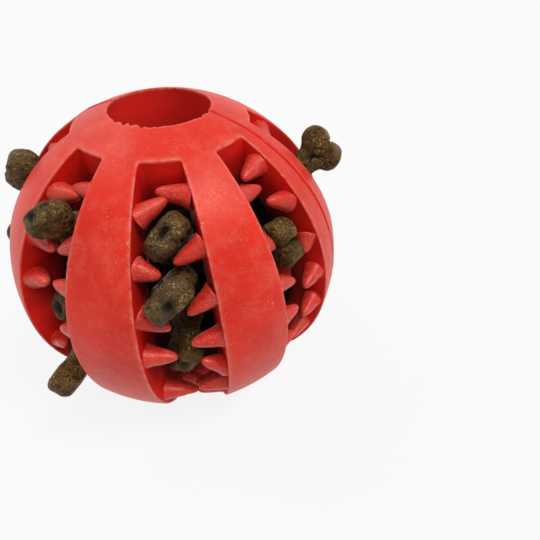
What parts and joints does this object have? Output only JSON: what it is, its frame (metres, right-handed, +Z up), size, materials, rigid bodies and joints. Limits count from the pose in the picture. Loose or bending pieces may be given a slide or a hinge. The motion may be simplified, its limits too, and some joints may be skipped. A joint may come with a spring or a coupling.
{
  "type": "dental chew ball",
  "caption": "Hollow rubber chew ball with toothed slots from cap to cap and a filling mouth on top, holding bone-shaped treats wedged between its teeth.",
  "frame": {"origin": "middle of the flat foot under the ball, which stands on it with its filling mouth up", "axes": "+Z up through the filling mouth, -Y towards the front slot, +X to the right of it"},
  "size_m": [0.0709, 0.0694, 0.0679],
  "materials": {
    "red_rubber": "satin moulded rubber, slightly dusty",
    "biscuit": "rough baked biscuit"
  },
  "bodies": {
    "ball": {"front_half_shell": "red_rubber", "rear_half_shell": "red_rubber"},
    "treat_left_high": {"treat_left_high": "biscuit"},
    "treat_left_low": {"treat_left_low": "biscuit"},
    "treat_front_left_high": {"treat_front_left_high": "biscuit"},
    "treat_front_left_middle": {"treat_front_left_middle": "biscuit"},
    "treat_front_left_low": {"treat_front_left_low": "biscuit"},
    "treat_front_high": {"treat_front_high": "biscuit"},
    "treat_front_middle": {"treat_front_middle": "biscuit"},
    "treat_front_low": {"treat_front_low": "biscuit"},
    "treat_front_right": {"treat_front_right": "biscuit"},
    "treat_right": {"treat_right": "biscuit"},
    "treat_inside_bottom": {"treat_inside_bottom": "biscuit"},
    "treat_inside_lower": {"treat_inside_lower": "biscuit"},
    "treat_inside_left": {"treat_inside_left": "biscuit"},
    "treat_inside_right": {"treat_inside_right": "biscuit"},
    "treat_inside_upper": {"treat_inside_upper": "biscuit"},
    "treat_inside_top": {"treat_inside_top": "biscuit"},
    "treat_inside_rear": {"treat_inside_rear": "biscuit"}
  },
  "joints": [
    {"name": "treat_left_high_play", "type": "slide", "parent": "ball", "child": "treat_left_high", "axis": [-0.8987, 0.0157, 0.4384], "range_m": [-0.0005, 0.0005]},
    {"name": "treat_left_low_play", "type": "slide", "parent": "ball", "child": "treat_left_low", "axis": [-0.9703, 0, 0.2419], "range_m": [-0.0005, 0.0005]},
    {"name": "treat_front_left_high_play", "type": "slide", "parent": "ball", "child": "treat_front_left_high", "axis": [-0.4731, -0.5255, 0.7071], "range_m": [-0.0005, 0.0005]},
    {"name": "treat_front_left_middle_play", "type": "slide", "parent": "ball", "child": "treat_front_left_middle", "axis": [-0.713, -0.6556, 0.2487], "range_m": [-0.0005, 0.0005]},
    {"name": "treat_front_left_low_play", "type": "slide", "parent": "ball", "child": "treat_front_left_low", "axis": [-0.6621, -0.4466, -0.6018], "range_m": [-0.0005, 0.0005]},
    {"name": "treat_front_high_play", "type": "slide", "parent": "ball", "child": "treat_front_high", "axis": [0.0123, -0.707, 0.7071], "range_m": [-0.0005, 0.0005]},
    {"name": "treat_front_middle_play", "type": "slide", "parent": "ball", "child": "treat_front_middle", "axis": [-0.0696, -0.9051, 0.4195], "range_m": [-0.0005, 0.0005]},
    {"name": "treat_front_low_play", "type": "slide", "parent": "ball", "child": "treat_front_low", "axis": [0, -0.9877, -0.1564], "range_m": [-0.0005, 0.0005]},
    {"name": "treat_front_right_play", "type": "slide", "parent": "ball", "child": "treat_front_right", "axis": [0.6022, -0.6457, 0.4695], "range_m": [-0.0005, 0.0005]},
    {"name": "treat_right_play", "type": "slide", "parent": "ball", "child": "treat_right", "axis": [0.766, 0, 0.6428], "range_m": [-0.0005, 0.0005]},
    {"name": "treat_inside_bottom_slide", "type": "slide", "parent": "ball", "child": "treat_inside_bottom", "axis": [1, 0, 0], "range_m": [-0.0005, 0.0005]},
    {"name": "treat_inside_lower_slide", "type": "slide", "parent": "ball", "child": "treat_inside_lower", "axis": [0, 1, 0], "range_m": [-0.003, 0.003]},
    {"name": "treat_inside_left_slide", "type": "slide", "parent": "ball", "child": "treat_inside_left", "axis": [-1, 0, 0], "range_m": [0, 0.004]},
    {"name": "treat_inside_right_slide", "type": "slide", "parent": "ball", "child": "treat_inside_right", "axis": [1, 0, 0], "range_m": [0, 0.004]},
    {"name": "treat_inside_upper_slide", "type": "slide", "parent": "ball", "child": "treat_inside_upper", "axis": [0.9659, -0.2588, 0], "range_m": [-0.003, 0.003]},
    {"name": "treat_inside_top_slide", "type": "slide", "parent": "ball", "child": "treat_inside_top", "axis": [0.1736, -0.9848, 0], "range_m": [-0.0025, 0.0025]},
    {"name": "treat_inside_rear_slide", "type": "slide", "parent": "ball", "child": "treat_inside_rear", "axis": [-0.9239, -0.3827, 0], "range_m": [0, 0.003]}
  ]
}
